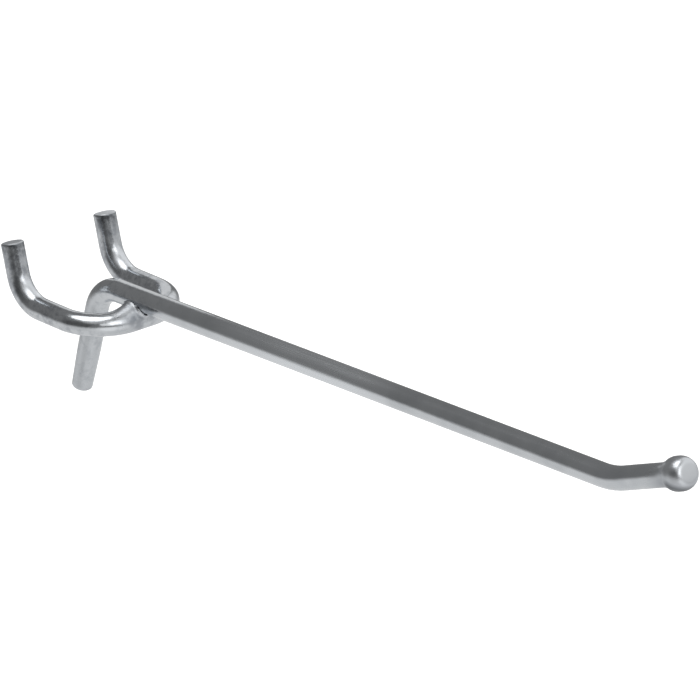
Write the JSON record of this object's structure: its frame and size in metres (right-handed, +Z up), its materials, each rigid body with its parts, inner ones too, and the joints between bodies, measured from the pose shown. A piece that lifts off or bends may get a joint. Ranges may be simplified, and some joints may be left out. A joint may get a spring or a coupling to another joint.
{
  "type": "pegboard hook",
  "caption": "Welded wire pegboard hook: a straight round arm with an upturned headed tip, a brace that lies on the board and a U-shaped yoke whose prongs hook behind it.",
  "frame": {"origin": "on the board's front face, midway between the holes that take the prongs", "axes": "+Y into the board, -Y out along the hook, +Z up the board, +X to the right seen from the front"},
  "size_m": [0.0303, 0.185, 0.0866],
  "materials": {
    "arm_zinc": "bright zinc plated steel wire",
    "yoke_zinc": "bright zinc plated steel wire"
  },
  "bodies": {
    "root": {"arm": "arm_zinc", "prong_yoke": "yoke_zinc"}
  },
  "joints": []
}
